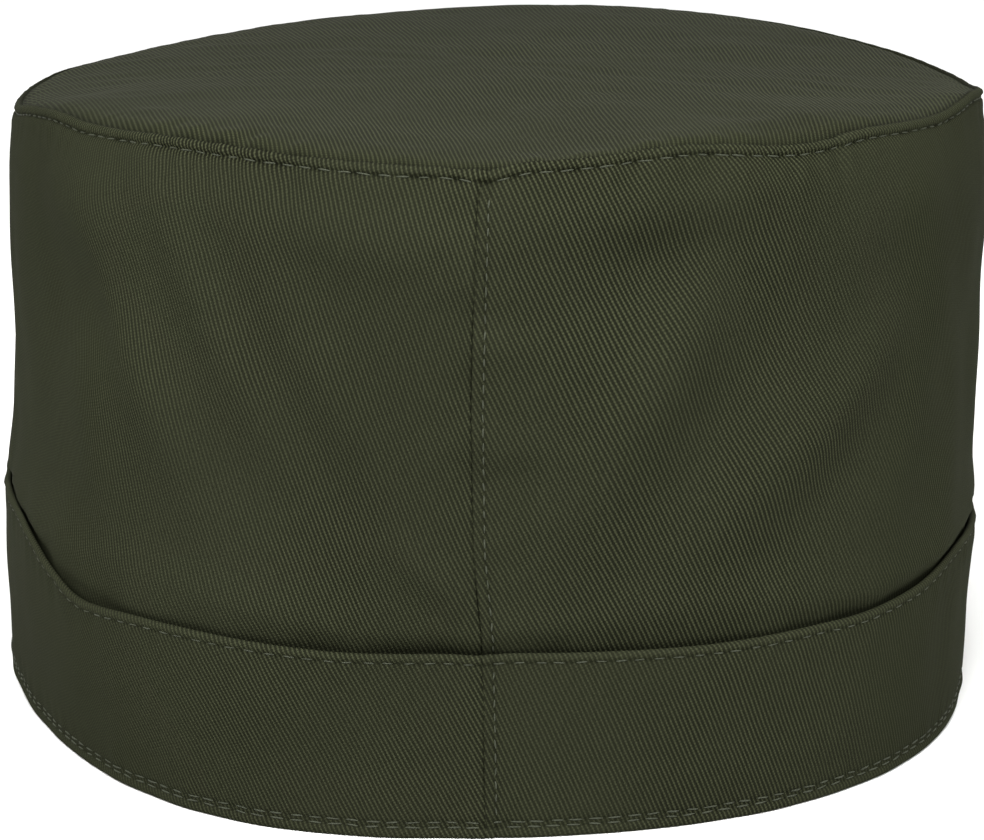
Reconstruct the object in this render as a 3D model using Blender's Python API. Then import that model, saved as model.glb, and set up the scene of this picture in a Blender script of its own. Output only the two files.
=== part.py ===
"""A soft cloth fatigue cap, resting on its rim.

Four sewn pieces: an oval crown top, one side strip closed by a seam at the back,
a doubled band round the foot of the side, and a stiff peak at the front.
Metres, +Z up. The origin is the middle of the head opening, on the plane the rim
rests on. The back seam is towards +Y and the peak towards -Y.

A place on the wall is given by its turn (0 at the back seam, a quarter turn at +X,
half a turn at the front) and its rise (0 at the hem, 1 at the crown's edge).
"""

import math
from collections import namedtuple

import bmesh
import bpy
from mathutils import Vector

MM = 0.001

# Sizes of the cap over its outer face
HALF_WIDTH = 89.5 * MM
HALF_LENGTH_BACK = 103.0 * MM
HALF_LENGTH_FRONT = 100.0 * MM
CROWN_HEIGHT = 107.0 * MM
BAND_HEIGHT = 33.6 * MM
EASE_ABOVE_BAND = 14.0 * MM

# Cloth
SIDE_CLOTH = 1.2 * MM
TOP_CLOTH = 1.2 * MM
BAND_CLOTH = 1.1 * MM
SEWING_GAP = 0.3 * MM

# Crown's edge and top
SEAM_ROLL_HEIGHT = 2.0 * MM
SEAM_ROLL_DEPTH = 0.7 * MM
TOP_DROP = 0.5 * MM
TOP_DOME = 2.2 * MM
TOP_ROLL_HEIGHT = 1.4 * MM
TOP_ROLL_RUN = 2.8 * MM
DIMPLE_RUN = 9.0 * MM

# Peak. The spread is in degrees each way from the front, and the hem comes down to the
# floor between the two eases, in degrees past the peak's end.
PEAK_THICKNESS = 3.0 * MM
PEAK_LENGTH = 60.0 * MM
PEAK_HALF_SPREAD = 62.0
PEAK_ARCH = 8.0 * MM
PEAK_DROOP = 4.5 * MM
PEAK_END_LENGTH = 2.5 * MM
PEAK_FULLNESS = 0.92
PEAK_ROOT_SHARE = 0.33
HEM_EASE_START = 2.0
HEM_EASE_END = 16.0

# The plan's waves fade out between these turns, in degrees from the back seam.
WAVE_FADE_START = 95.0
WAVE_FADE_END = 140.0

# How finely each piece is divided
WALL_COLUMNS = 84
UPPER_ROWS = 7
BAND_ROWS = 5
SEAM_ROLL_ROWS = (1.0, 0.4, 0.0)
TOP_REACHES = (1.0, 0.965, 0.90, 0.78, 0.58, 0.34, 0.12)
PEAK_COLUMNS = 32
PEAK_ROWS = 6
NORMAL_STEP = 0.5
SHARP_ANGLE = 40.0

# Levels of the wall. rise: share of the crown's height. width and length: shares of
# the half width and half lengths. lean: how far the level sits towards +X, as a share
# of the half width. square: the oval's exponent, 2 for an ellipse and more for squarer.
Level = namedtuple("Level", "name rise width length lean square")
LEVELS = (
    Level("hem", 0.00, 1.008, 1.000, 0.000, 2.28),
    Level("band edge", 0.31, 1.020, 1.012, 0.002, 2.38),
    Level("lower wall", 0.45, 1.011, 1.008, -0.014, 2.30),
    Level("middle", 0.62, 1.003, 1.002, -0.018, 2.22),
    Level("shoulder", 0.90, 0.999, 0.999, -0.020, 2.12),
    Level("crown edge", 1.00, 0.982, 0.991, -0.014, 2.06),
)

# Waves of the plan, as shares of the radius, at three levels of the wall.
# turns: how many waves go round the cap.
PlanWave = namedtuple("PlanWave", "turns hem_cos hem_sin band_cos band_sin edge_cos edge_sin")
PLAN_WAVES = (
    PlanWave(2, 0.001, -0.007, 0.004, -0.005, -0.003, -0.007),
    PlanWave(3, 0.007, -0.001, 0.010, 0.003, 0.005, 0.003),
    PlanWave(4, 0.002, 0.007, -0.001, 0.010, 0.001, 0.006),
    PlanWave(5, -0.003, 0.006, -0.013, 0.000, -0.002, 0.000),
)

# Waves of the heights, as shares of the crown's height and of the band's height.
HeightWave = namedtuple("HeightWave", "turns edge_cos edge_sin band_cos band_sin")
HEIGHT_WAVES = (
    HeightWave(1, 0.022, -0.009, -0.033, 0.036),
    HeightWave(2, 0.019, 0.008, -0.042, 0.000),
    HeightWave(3, -0.010, 0.000, 0.000, 0.000),
    HeightWave(4, -0.008, -0.004, 0.000, 0.000),
)

# Dents and swells of the side. turn: degrees. rise: share of the crown's height.
# along and across: half lengths, as shares of the crown's height. slope: degrees the
# long way leans from upright, top towards +X. depth: share of the half width, + is in.
Dent = namedtuple("Dent", "name turn rise along across slope depth")
SIDE_DENTS = (
    Dent("left shoulder hollow", 58, 0.74, 0.17, 0.12, 0, 0.020),
    Dent("left drag swell", 44, 0.58, 0.34, 0.07, 24, -0.009),
    Dent("left waist hollow", 62, 0.46, 0.14, 0.13, 0, 0.009),
    Dent("left inner hollow", 15, 0.60, 0.18, 0.11, 16, 0.010),
    Dent("seam pucker", -2, 0.55, 0.06, 0.06, 0, 0.010),
    Dent("seam left swell", 6, 0.37, 0.09, 0.07, 0, -0.008),
    Dent("right inner hollow", -22, 0.83, 0.13, 0.09, -20, 0.019),
    Dent("right crease", -30, 0.80, 0.20, 0.035, -22, -0.010),
    Dent("right chest swell", -13, 0.67, 0.18, 0.12, -25, -0.009),
    Dent("right drag hollow", -34, 0.52, 0.32, 0.08, -32, 0.012),
    Dent("right drag swell", -47, 0.58, 0.30, 0.07, -30, -0.008),
    Dent("right waist hollow", -66, 0.60, 0.17, 0.12, 0, 0.011),
    Dent("right low hollow", -50, 0.42, 0.12, 0.12, 0, 0.010),
    Dent("left low hollow", 40, 0.38, 0.10, 0.20, 0, 0.013),
    Dent("right foot hollow", -18, 0.37, 0.08, 0.22, 0, 0.012),
)

# Where the band stands off the side. turn, width: degrees. stand_off: share of the
# band's cloth, at the band's free edge.
Pocket = namedtuple("Pocket", "name turn width stand_off")
BAND_POCKETS = (
    Pocket("left pocket", 42, 22, 1.3),
    Pocket("right pocket", -30, 24, 1.2),
)

# Soft dimples of the crown top along its seam. turn, width: degrees. depth: share of
# the top's roll height, + is down.
Dimple = namedtuple("Dimple", "name turn width depth")
TOP_DIMPLES = (
    Dimple("left swell", 35, 22, -0.9),
    Dimple("seam hollow", -6, 9, 0.8),
    Dimple("right swell", -36, 16, -1.0),
    Dimple("right corner hollow", -72, 12, 0.8),
)

OLIVE_TWILL = (0.048, 0.052, 0.030, 1.0)
CLOTH_ROUGHNESS = 0.85


def smooth(share):
    """Ease from 0 to 1 as share goes from 0 to 1."""
    share = min(1.0, max(0.0, share))
    return share * share * (3.0 - 2.0 * share)


def level_value(field, rise):
    """A column of LEVELS at any rise, on a smooth curve through its rows."""
    rises = [level.rise for level in LEVELS]
    values = [getattr(level, field) for level in LEVELS]
    rise = min(rises[-1], max(rises[0], rise))
    i = max(k for k in range(len(rises) - 1) if rise >= rises[k])

    def slope(k):
        low, high = max(0, k - 1), min(len(rises) - 1, k + 1)
        return (values[high] - values[low]) / (rises[high] - rises[low])

    span = rises[i + 1] - rises[i]
    t = (rise - rises[i]) / span
    return (
        values[i] * (1 + 2 * t) * (1 - t) ** 2
        + values[i + 1] * t * t * (3 - 2 * t)
        + slope(i) * span * t * (1 - t) ** 2
        + slope(i + 1) * span * t * t * (t - 1)
    )


def degrees_apart(one, other):
    """The signed angle from one turn to another, within half a turn."""
    return (one - other + 180.0) % 360.0 - 180.0


def back_share(turn):
    """1 over the back and sides, easing to 0 at the plain front."""
    from_back = abs(degrees_apart(turn, 0.0))
    return smooth((WAVE_FADE_END - from_back) / (WAVE_FADE_END - WAVE_FADE_START))


def plan_wave(turn, rise):
    """How much the plan swells at a place, as a share of its radius."""
    band_rise = LEVELS[1].rise
    total = 0.0
    for wave in PLAN_WAVES:
        angle = math.radians(wave.turns * turn)
        hem = wave.hem_cos * math.cos(angle) + wave.hem_sin * math.sin(angle)
        band = wave.band_cos * math.cos(angle) + wave.band_sin * math.sin(angle)
        edge = wave.edge_cos * math.cos(angle) + wave.edge_sin * math.sin(angle)
        if rise < band_rise:
            total += hem + (band - hem) * smooth(rise / band_rise)
        else:
            total += band + (edge - band) * smooth((rise - band_rise) / (1 - band_rise))
    return total * back_share(turn)


def height_wave(turn, piece):
    """How much higher than its plain height the crown's or the band's edge is, as a share."""
    total = 0.0
    for wave in HEIGHT_WAVES:
        angle = math.radians(wave.turns * turn)
        total += getattr(wave, piece + "_cos") * math.cos(angle)
        total += getattr(wave, piece + "_sin") * math.sin(angle)
    return total


def oval_point(turn, rise):
    """A point of the undented plan at this turn and rise."""
    angle = math.radians(turn)
    power = 2.0 / level_value("square", rise)
    sine, cosine = math.sin(angle), math.cos(angle)
    swell = 1.0 + plan_wave(turn, rise)
    half_length = HALF_LENGTH_BACK if cosine > 0 else HALF_LENGTH_FRONT
    x = math.copysign(abs(sine) ** power, sine) * HALF_WIDTH * level_value("width", rise)
    y = math.copysign(abs(cosine) ** power, cosine) * half_length * level_value("length", rise)
    lean = HALF_WIDTH * level_value("lean", rise)
    return Vector((x * swell + lean, y * swell, 0.0))


def oval_normal(turn, rise):
    """The plan's outward direction at this turn and rise."""
    run = oval_point(turn + NORMAL_STEP, rise) - oval_point(turn - NORMAL_STEP, rise)
    return Vector((-run.y, run.x, 0.0)).normalized()


def peak_end_x():
    """Half the width of the peak where it meets the rim."""
    end = math.radians(180.0 - PEAK_HALF_SPREAD)
    return HALF_WIDTH * abs(math.sin(end)) ** (2.0 / LEVELS[0].square)


def arch(x):
    """How far the peak's underside is lifted off the floor at this distance from its middle."""
    return PEAK_ARCH * max(0.0, 1.0 - (x / peak_end_x()) ** 2)


def hem_height(turn):
    """Height of the hem: on the floor at the back and sides, and over the peak at the front."""
    from_front = abs(degrees_apart(turn, 180.0))
    past_peak = from_front - PEAK_HALF_SPREAD
    ease = 1.0 - smooth((past_peak - HEM_EASE_START) / (HEM_EASE_END - HEM_EASE_START))
    if ease <= 0.0:
        return 0.0
    return (PEAK_THICKNESS + SEWING_GAP) * ease + arch(oval_point(turn, 0.0).x)


def edge_height(turn):
    """Height of the crown's edge."""
    return CROWN_HEIGHT * (1.0 + height_wave(turn, "edge"))


def band_top(turn):
    """Height of the band's free edge, which follows the hem."""
    return hem_height(turn) + BAND_HEIGHT * (1.0 + height_wave(turn, "band"))


def dent_depth(turn, rise):
    """How far the side's face is pressed in at a place."""
    depth = 0.0
    for dent in SIDE_DENTS:
        side = math.radians(degrees_apart(turn, dent.turn)) * HALF_LENGTH_BACK
        up = (rise - dent.rise) * CROWN_HEIGHT
        lean = math.radians(dent.slope)
        along = (up * math.cos(lean) + side * math.sin(lean)) / (dent.along * CROWN_HEIGHT)
        across = (side * math.cos(lean) - up * math.sin(lean)) / (dent.across * CROWN_HEIGHT)
        depth += dent.depth * HALF_WIDTH * math.exp(-(along**2 + across**2))
    return depth


def pocket_depth(turn):
    """How far the band's free edge stands off the side."""
    total = 0.0
    for pocket in BAND_POCKETS:
        total += pocket.stand_off * math.exp(-((degrees_apart(turn, pocket.turn) / pocket.width) ** 2))
    return total * BAND_CLOTH


def tuck_depth(turn, z):
    """How far the side is pressed in behind the band and just above it."""
    band_clearance = BAND_CLOTH + SEWING_GAP
    free_edge = band_top(turn)
    if z <= free_edge:
        return band_clearance + pocket_depth(turn) * smooth(z / free_edge)
    ease = 1.0 - smooth((z - free_edge) / EASE_ABOVE_BAND)
    return (band_clearance + pocket_depth(turn)) * ease


def skin_point(turn, z, inset):
    """A point at height z, this far in from the cap's outermost face."""
    rise = z / CROWN_HEIGHT
    point = oval_point(turn, rise) - oval_normal(turn, rise) * inset
    point.z = z
    return point


def side_inset(turn, z):
    """How far in from the outermost face the side's outer face lies."""
    above_band = smooth((z - band_top(turn)) / EASE_ABOVE_BAND)
    return tuck_depth(turn, z) + dent_depth(turn, z / CROWN_HEIGHT) * above_band


def wall_turns():
    """The turns of a strip's columns, from one side of the back seam to the other."""
    half_gap = math.degrees(SEWING_GAP / 2 / HALF_LENGTH_BACK)
    span = 360.0 - 2 * half_gap
    return [half_gap + span * i / WALL_COLUMNS for i in range(WALL_COLUMNS + 1)]


def shell_object(name, outer, inner, dish=False):
    """A closed solid between two grids of points, given as rows of columns.

    A dish runs all the way round, and its last row is filled in.
    """
    mesh = bpy.data.meshes.new(name)
    bm = bmesh.new()
    out, back = [[[bm.verts.new(p) for p in row] for row in grid] for grid in (outer, inner)]
    rows, columns = len(outer), len(outer[0])
    steps = [(c, (c + 1) % columns) for c in range(columns if dish else columns - 1)]
    for grid in (out, back):
        for r in range(rows - 1):
            for c, d in steps:
                bm.faces.new([grid[r][c], grid[r][d], grid[r + 1][d], grid[r + 1][c]])
    for r in (0,) if dish else (0, rows - 1):
        for c, d in steps:
            bm.faces.new([out[r][c], back[r][c], back[r][d], out[r][d]])
    if dish:
        bm.faces.new(out[-1])
        bm.faces.new(back[-1])
    else:
        for c in (0, columns - 1):
            for r in range(rows - 1):
                bm.faces.new([out[r][c], out[r + 1][c], back[r + 1][c], back[r][c]])
    bmesh.ops.recalc_face_normals(bm, faces=bm.faces)
    bm.to_mesh(mesh)
    bm.free()
    return finish_object(name, mesh)


def finish_object(name, mesh):
    """Link a mesh as a named object with its own olive twill and soft shading."""
    mesh.shade_smooth()
    mesh.set_sharp_from_angle(angle=math.radians(SHARP_ANGLE))
    obj = bpy.data.objects.new(name, mesh)
    bpy.context.scene.collection.objects.link(obj)
    material = bpy.data.materials.new(name + "_twill")
    material.use_nodes = True
    shader = material.node_tree.nodes["Principled BSDF"]
    shader.inputs["Base Color"].default_value = OLIVE_TWILL
    shader.inputs["Roughness"].default_value = CLOTH_ROUGHNESS
    shader.inputs["Metallic"].default_value = 0.0
    mesh.materials.append(material)
    return obj


def side_heights(turn):
    """Heights of the side's rows, closer together at the band's edge and at the crown's seam."""
    low, free, high = hem_height(turn), band_top(turn), edge_height(turn)
    eased, rolled = free + EASE_ABOVE_BAND, high - SEAM_ROLL_HEIGHT
    heights = [low, (low + free) / 2, free, (free + eased) / 2]
    heights += [eased + (rolled - eased) * row / UPPER_ROWS for row in range(UPPER_ROWS)]
    return heights + [high - SEAM_ROLL_HEIGHT * share for share in SEAM_ROLL_ROWS]


def side_roll_inset(turn, z):
    """How far the side's upper edge rolls in towards the crown's seam."""
    share = min(1.0, max(0.0, 1.0 - (edge_height(turn) - z) / SEAM_ROLL_HEIGHT))
    return SEAM_ROLL_DEPTH * (1.0 - math.sqrt(1.0 - share * share))


def crown_side():
    """The wall of the crown: one strip whose two ends meet in the back seam."""
    outer, inner = [], []
    for heights in zip(*[side_heights(turn) for turn in wall_turns()]):
        outer_row, inner_row = [], []
        for turn, z in zip(wall_turns(), heights):
            inset = side_inset(turn, z)
            outer_row.append(skin_point(turn, z, inset + side_roll_inset(turn, z)))
            inner_row.append(skin_point(turn, z, inset + SIDE_CLOTH))
        outer.append(outer_row)
        inner.append(inner_row)
    return shell_object("crown_side", outer, inner)


def band():
    """The doubled strip round the foot of the side, sewn at the hem and free at its upper edge."""
    outer, inner = [], []
    for row in range(BAND_ROWS + 1):
        outer_row, inner_row = [], []
        for turn in wall_turns():
            low, high = hem_height(turn), band_top(turn)
            z = low + (high - low) * row / BAND_ROWS
            outer_row.append(skin_point(turn, z, 0.0))
            inner_row.append(skin_point(turn, z, BAND_CLOTH))
        outer.append(outer_row)
        inner.append(inner_row)
    return shell_object("band", outer, inner)


def top_dimple(turn):
    """How far the crown top is pressed down beside its seam at this turn."""
    total = 0.0
    for dimple in TOP_DIMPLES:
        total += dimple.depth * math.exp(-((degrees_apart(turn, dimple.turn) / dimple.width) ** 2))
    return total * TOP_ROLL_HEIGHT


def top_height(turn, reach):
    """Height of the crown top's upper face; reach is 0 at its middle and 1 at its seam."""
    seam = edge_height(turn) - TOP_DROP
    level = CROWN_HEIGHT + (seam - CROWN_HEIGHT) * reach**2
    dome = TOP_DOME * (1.0 - reach**2)
    from_seam = (1.0 - reach) * HALF_WIDTH
    roll = TOP_ROLL_HEIGHT * (1.0 - math.exp(-from_seam / TOP_ROLL_RUN))
    beside_seam = (from_seam / DIMPLE_RUN) * math.exp(1.0 - from_seam / DIMPLE_RUN)
    return level + dome + roll - top_dimple(turn) * beside_seam


def crown_top():
    """The oval panel sewn inside the side's upper edge."""
    middle = Vector((HALF_WIDTH * LEVELS[-1].lean, 0.0, 0.0))
    outer, inner = [], []
    for reach in TOP_REACHES:
        outer_row, inner_row = [], []
        for turn in wall_turns()[:-1]:
            edge = edge_height(turn)
            seam = skin_point(turn, edge, side_inset(turn, edge) + SIDE_CLOTH + SEWING_GAP)
            point = middle.lerp(seam, reach)
            point.z = top_height(turn, reach)
            outer_row.append(point)
            inner_row.append(point - Vector((0.0, 0.0, TOP_CLOTH)))
        outer.append(outer_row)
        inner.append(inner_row)
    return shell_object("crown_top", outer, inner, dish=True)


def peak_root(turn):
    """The peak's inner edge: under the side's inner face, at the hem."""
    return skin_point(turn, 0.0, BAND_CLOTH + SEWING_GAP + SIDE_CLOTH)


def peak_rim(share):
    """The peak's free edge, a half oval; share runs from -1 to 1 across the peak."""
    end_turn = math.radians(180.0 - PEAK_HALF_SPREAD)
    end_y = -HALF_LENGTH_FRONT * abs(math.cos(end_turn)) ** (2.0 / LEVELS[0].square)
    end_y -= PEAK_END_LENGTH
    depth = HALF_LENGTH_FRONT + PEAK_LENGTH + end_y
    angle = share * math.pi / 2
    x = (peak_end_x() + PEAK_END_LENGTH) * math.sin(angle)
    return Vector((-x, end_y - depth * abs(math.cos(angle)) ** PEAK_FULLNESS, 0.0))


def peak():
    """The stiff peak: an arched plate sewn under the front of the rim."""
    upper, lower = [], []
    for row in range(PEAK_ROWS + 1):
        out = row / PEAK_ROWS
        upper_row, lower_row = [], []
        for column in range(PEAK_COLUMNS + 1):
            share = 2.0 * column / PEAK_COLUMNS - 1.0
            turn = 180.0 + share * PEAK_HALF_SPREAD
            point = peak_root(turn).lerp(peak_rim(share), out)
            reach = (point.y + HALF_LENGTH_FRONT) / -PEAK_LENGTH
            droop = PEAK_DROOP * max(0.0, reach) * arch(point.x) / PEAK_ARCH
            root_lift = arch(oval_point(turn, 0.0).x)
            lift = root_lift + (arch(point.x) - root_lift) * smooth(out / PEAK_ROOT_SHARE)
            lower_row.append(Vector((point.x, point.y, lift - droop)))
            upper_row.append(Vector((point.x, point.y, lift - droop + PEAK_THICKNESS)))
        upper.append(upper_row)
        lower.append(lower_row)
    return shell_object("peak", upper, lower)


def main():
    """Build the four pieces in an empty scene."""
    for obj in list(bpy.data.objects):
        bpy.data.objects.remove(obj)
    crown_side()
    crown_top()
    band()
    peak()


main()
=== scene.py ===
"""The looks of a soft twill fatigue cap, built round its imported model.

The wall of the crown, the band and the crown top are each one sheet of cloth, laid on the
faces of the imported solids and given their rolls, grooves, laps and folds. The peak has a
closed cover. Metres, +Z up, the back seam towards +Y and the peak towards -Y, as in the
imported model. Tables of places across a piece hold millimetres.
"""

import logging
import math
from dataclasses import dataclass, field
from enum import Enum

import bpy
import numpy as np
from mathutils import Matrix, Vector
from mathutils.bvhtree import BVHTree
from mathutils.geometry import convex_hull_2d


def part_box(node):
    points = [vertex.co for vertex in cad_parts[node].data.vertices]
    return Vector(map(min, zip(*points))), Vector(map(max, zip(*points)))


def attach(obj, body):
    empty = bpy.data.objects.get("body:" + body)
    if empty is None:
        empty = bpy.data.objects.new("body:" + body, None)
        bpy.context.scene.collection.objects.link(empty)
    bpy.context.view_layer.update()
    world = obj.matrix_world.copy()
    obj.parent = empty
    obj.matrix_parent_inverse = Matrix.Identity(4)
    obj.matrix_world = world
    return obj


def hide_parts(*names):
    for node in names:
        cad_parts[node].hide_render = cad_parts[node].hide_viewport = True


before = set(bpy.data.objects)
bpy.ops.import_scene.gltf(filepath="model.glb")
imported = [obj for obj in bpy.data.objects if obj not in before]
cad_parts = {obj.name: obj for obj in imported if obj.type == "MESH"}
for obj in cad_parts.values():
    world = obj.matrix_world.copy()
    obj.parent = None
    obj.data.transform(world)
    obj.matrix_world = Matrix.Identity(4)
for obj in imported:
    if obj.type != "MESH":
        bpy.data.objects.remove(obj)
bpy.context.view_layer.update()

MM = 0.001
Array = np.ndarray
log = logging.getLogger("cap")


def linear(colour: str) -> tuple[float, float, float, float]:
    """A colour for a shader socket.

    Args:
        colour: sRGB hex value, such as "#585c4b".

    Returns:
        Linear red, green and blue, and 1 for alpha.
    """
    shares = [int(colour[i:i + 2], 16) / 255 for i in (1, 3, 5)]
    steps = [s / 12.92 if s <= 0.04045 else ((s + 0.055) / 1.055) ** 2.4 for s in shares]
    return (*steps, 1.0)


def ease(share: Array) -> Array:
    """From 0 to 1 with soft ends as share goes from 0 to 1."""
    share = np.clip(share, 0.0, 1.0)
    return share * share * (3.0 - 2.0 * share)


def bump(distance: Array, half_width: float) -> Array:
    """A bell of height 1, half_width from its middle to about a third of its height."""
    return np.exp(-((distance / half_width) ** 2))


def ripples(x: Array, y: Array, wavelength: float, seed: int, stretch: float = 1.0) -> Array:
    """Random soft undulations with a spread of about 1, the same on each run.

    Args:
        x: places along the cloth, in metres.
        y: places across it.
        wavelength: usual length of an undulation, in metres.
        seed: picks one set of undulations.
        stretch: how much longer they are along y than along x.

    Returns:
        One value for each place.
    """
    draw = np.random.default_rng(seed)
    total = np.zeros(np.broadcast(x, y).shape)
    count = 16
    for _ in range(count):
        angle = draw.uniform(0.0, 2 * math.pi)
        turns = 2 * math.pi / (wavelength * draw.uniform(0.7, 1.5))
        phase = draw.uniform(0.0, 2 * math.pi)
        total += np.cos(turns * (x * math.cos(angle) + y * math.sin(angle) / stretch) + phase)
    return total * math.sqrt(2.0 / count)


def smooth_rows(table: Array, spread: float, around: bool) -> Array:
    """A table smoothed along its first axis.

    Args:
        table: rows to smooth.
        spread: standard deviation of the smoothing, in rows.
        around: whether the last row is next to the first one.

    Returns:
        A table of the same size.
    """
    reach = int(3 * spread) + 1
    steps = np.arange(-reach, reach + 1)
    weights = np.exp(-0.5 * (steps / spread) ** 2)
    weights /= weights.sum()
    places = np.arange(len(table))[:, None] + steps[None, :]
    places = places % len(table) if around else np.clip(places, 0, len(table) - 1)
    return np.tensordot(weights, np.moveaxis(table[places], 1, 0), axes=(0, 0))


def distances(line: Array) -> Array:
    """Distance of each point of a line from its first point, along the line."""
    return np.concatenate([[0.0], np.cumsum(np.linalg.norm(np.diff(line, axis=0), axis=1))])


def value_at(place: float, run: Array, table: Array) -> Array:
    """The values of a table of three columns at a distance along its line."""
    return np.array([np.interp(place, run, table[:, i]) for i in range(3)])


def towards_back(from_seam: Array) -> Array:
    """1 round the back of the cap, falling to 0 at its sides, from the distance to the back seam."""
    return ease((78 * MM - from_seam) / (30 * MM))


def face_normals(points: Array) -> Array:
    """Outward directions of a grid of points whose rows go up and columns go to the wearer's left."""
    normals = np.cross(np.gradient(points, axis=0), np.gradient(points, axis=1))
    return normals / np.maximum(np.linalg.norm(normals, axis=2, keepdims=True), 1e-12)


def packed_tree(node: str) -> BVHTree:
    """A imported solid's faces, ready to be met by rays."""
    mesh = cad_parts[node].data
    return BVHTree.FromPolygons([v.co for v in mesh.vertices], [p.vertices for p in mesh.polygons])


@dataclass
class PackedWall:
    """The outer face of a packed wall, read by level rays from outside.

    A place is given by its turn, the angle round the cap from the back seam towards the
    wearer's left in radians, and its height.
    """

    node: str
    sure_height: float
    turn_count: int = 720
    level_count: int = 48
    start: float = 0.2
    nearest: float = 0.06
    turn_spread: float = 3.0
    level_spread: float = 1.3
    foot_margin: float = 0.4 * MM
    edge_margin: float = 2.4 * MM
    under_floor: float = -0.02
    over_cap: float = 0.14
    halvings: int = 13

    def __post_init__(self) -> None:
        """Read the wall's edges and its distance from the axis at every turn and level."""
        self.tree = packed_tree(self.node)
        self.turns = (np.arange(self.turn_count) + 0.5) * (2 * math.pi / self.turn_count)
        self.low = self._edge(self.under_floor)
        self.high = self._edge(self.over_cap)
        shares = np.linspace(0.0, 1.0, self.level_count)
        table = np.empty((self.turn_count, self.level_count))
        for i, turn in enumerate(self.turns):
            for k, share in enumerate(shares):
                bottom, top = self.low[i] + self.foot_margin, self.high[i] - self.edge_margin
                table[i, k] = self._distance(turn, bottom + (top - bottom) * share)
        for k in range(self.level_count):
            met = table[:, k] > self.nearest
            table[:, k] = np.interp(self.turns, self.turns[met], table[met, k], period=2 * math.pi)
        table = smooth_rows(table, self.turn_spread, around=True)
        self.table = smooth_rows(table.T, self.level_spread, around=False).T

    def _distance(self, turn: float, height: float) -> float:
        """How far from the axis the wall's outer face is at a place, or 0 where it isn't met.

        Args:
            turn: angle round the cap, in radians.
            height: height of the place.

        Returns:
            The distance in metres.
        """
        way = Vector((math.sin(turn), math.cos(turn), 0.0))
        hit = self.tree.ray_cast(way * self.start + Vector((0.0, 0.0, height)), -way, self.start)
        return 0.0 if hit[0] is None else self.start - hit[3]

    def _edge(self, beyond: float) -> Array:
        """Heights of the wall's lower or upper edge.

        Args:
            beyond: a height that is surely past that edge.

        Returns:
            One height for each turn.
        """
        heights = []
        for turn in self.turns:
            inside, outside = self.sure_height, beyond
            for _ in range(self.halvings):
                middle = (inside + outside) / 2
                if self._distance(turn, middle) > self.nearest:
                    inside = middle
                else:
                    outside = middle
            heights.append(inside)
        return smooth_rows(np.array(heights), self.turn_spread, around=True)

    def edge(self, turn: Array, upper: bool) -> Array:
        """Height of the wall's upper or lower edge at some turns."""
        return np.interp(turn, self.turns, self.high if upper else self.low, period=2 * math.pi)

    def distance(self, turn: Array, height: Array) -> Array:
        """Smoothed distance from the axis of the wall's outer face.

        Args:
            turn: angles round the cap.
            height: heights above the floor, the same shape.

        Returns:
            Distances, the same shape.
        """
        bottom = self.edge(turn, False) + self.foot_margin
        top = self.edge(turn, True) - self.edge_margin
        level = np.clip((height - bottom) / (top - bottom), 0.0, 1.0) * (self.level_count - 1)
        column = (turn / (2 * math.pi)) % 1.0 * self.turn_count - 0.5
        i = np.floor(column).astype(int)
        k = np.minimum(np.floor(level).astype(int), self.level_count - 2)
        a, b = column - i, level - k
        i, j = i % self.turn_count, (i + 1) % self.turn_count
        near = self.table[i, k] * (1 - b) + self.table[i, k + 1] * b
        far = self.table[j, k] * (1 - b) + self.table[j, k + 1] * b
        return near * (1 - a) + far * a


@dataclass
class Ruler:
    """Turns distance along a wall into turn, and back; 0 is at the back seam."""

    wall: PackedWall
    share: float

    def __post_init__(self) -> None:
        """Measure the wall once round at one share of its height."""
        turns = np.linspace(0.0, 2 * math.pi, 1441)
        low, high = self.wall.edge(turns, False), self.wall.edge(turns, True)
        reach = self.wall.distance(turns, low + (high - low) * self.share)
        x, y = reach * np.sin(turns), reach * np.cos(turns)
        run = np.concatenate([[0.0], np.cumsum(np.hypot(np.diff(x), np.diff(y)))])
        self.length = float(run[-1])
        self.runs = np.concatenate([run[:-1] - self.length, run, run[1:] + self.length])
        self.turns = np.concatenate([turns[:-1] - 2 * math.pi, turns, turns[1:] + 2 * math.pi])

    def turn(self, along: Array) -> Array:
        """Turns of some places, from their distance along the wall."""
        return np.interp(along, self.runs, self.turns)


def new_material(name: str) -> tuple[bpy.types.Material, bpy.types.NodeTree, bpy.types.Node]:
    """A new material with its node tree and its shader.

    Args:
        name: the material's name.

    Returns:
        The material, its node tree and its shader node.
    """
    material = bpy.data.materials.new(name)
    material.use_nodes = True
    return material, material.node_tree, material.node_tree.nodes["Principled BSDF"]


def add_node(tree: bpy.types.NodeTree, kind: str, settings: dict | None = None,
             links: dict | None = None) -> bpy.types.Node:
    """Add one node to a material.

    Args:
        tree: the material's node tree.
        kind: the node's type.
        settings: values of the node's own properties.
        links: for each input, by name or number, a socket to link or a value to set.

    Returns:
        The new node.
    """
    node = tree.nodes.new(kind)
    for name, value in (settings or {}).items():
        setattr(node, name, value)
    for name, value in (links or {}).items():
        if isinstance(value, bpy.types.NodeSocket):
            tree.links.new(value, node.inputs[name])
        else:
            node.inputs[name].default_value = value
    return node


class Chart(Enum):
    """Names of a cloth piece's own coordinates and marks, as its material reads them."""

    PLACE = "cloth"
    # Painted shade: how much the colour is darkened in grooves, seams, stitch lines and tucks.
    GROOVE = "groove"
    WEAR = "wear"
    NAP = "nap"


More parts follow.
